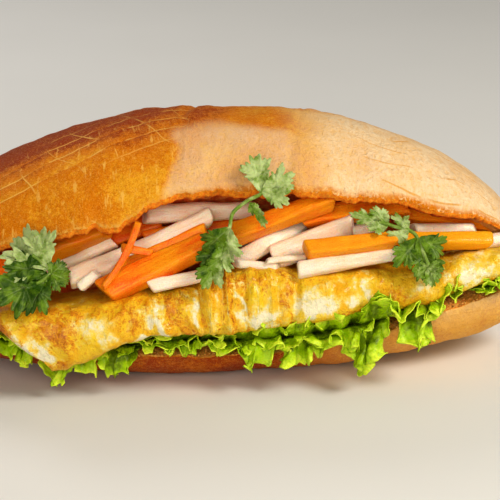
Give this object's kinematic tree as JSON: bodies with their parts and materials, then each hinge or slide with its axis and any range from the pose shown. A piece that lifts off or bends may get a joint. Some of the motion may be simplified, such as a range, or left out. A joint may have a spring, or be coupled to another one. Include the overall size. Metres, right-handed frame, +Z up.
{
  "type": "banh mi sandwich",
  "caption": "Crusty roll slit along the front and opened, filled with a folded omelette, frilly lettuce, carrot and white radish sticks and coriander sprigs.",
  "frame": {"origin": "on the table, under the middle of the roll", "axes": "+X along the roll, -Y out of the open side, +Z up"},
  "size_m": [0.22, 0.0802, 0.0843],
  "materials": {
    "crust": "crusty",
    "egg": "moist",
    "lettuce": "moist",
    "carrot": "moist",
    "radish": "moist",
    "coriander": "leafy"
  },
  "bodies": {
    "root": {"bread": "crust", "lettuce_leaf_1": "lettuce", "lettuce_leaf_2": "lettuce", "lettuce_leaf_3": "lettuce", "lettuce_leaf_4": "lettuce", "omelette": "egg", "carrot_stick_01": "carrot", "carrot_stick_02": "carrot", "carrot_stick_03": "carrot", "radish_stick_01": "radish", "radish_stick_02": "radish", "radish_stick_03": "radish", "carrot_stick_04": "carrot", "carrot_stick_05": "carrot", "carrot_stick_06": "carrot", "radish_stick_04": "radish", "radish_stick_05": "radish", "radish_stick_06": "radish", "carrot_stick_07": "carrot", "radish_stick_07": "radish", "radish_stick_08": "radish", "carrot_stick_08": "carrot", "radish_stick_09": "radish", "radish_stick_10": "radish", "radish_stick_11": "radish", "carrot_stick_09": "carrot", "carrot_stick_10": "carrot", "radish_stick_12": "radish", "radish_stick_13": "radish", "carrot_stick_11": "carrot", "carrot_stick_12": "carrot", "radish_stick_14": "radish", "carrot_stick_13": "carrot", "carrot_stick_14": "carrot", "radish_stick_15": "radish", "radish_stick_16": "radish", "coriander_left": "coriander", "coriander_middle": "coriander", "coriander_right": "coriander"}
  },
  "joints": []
}
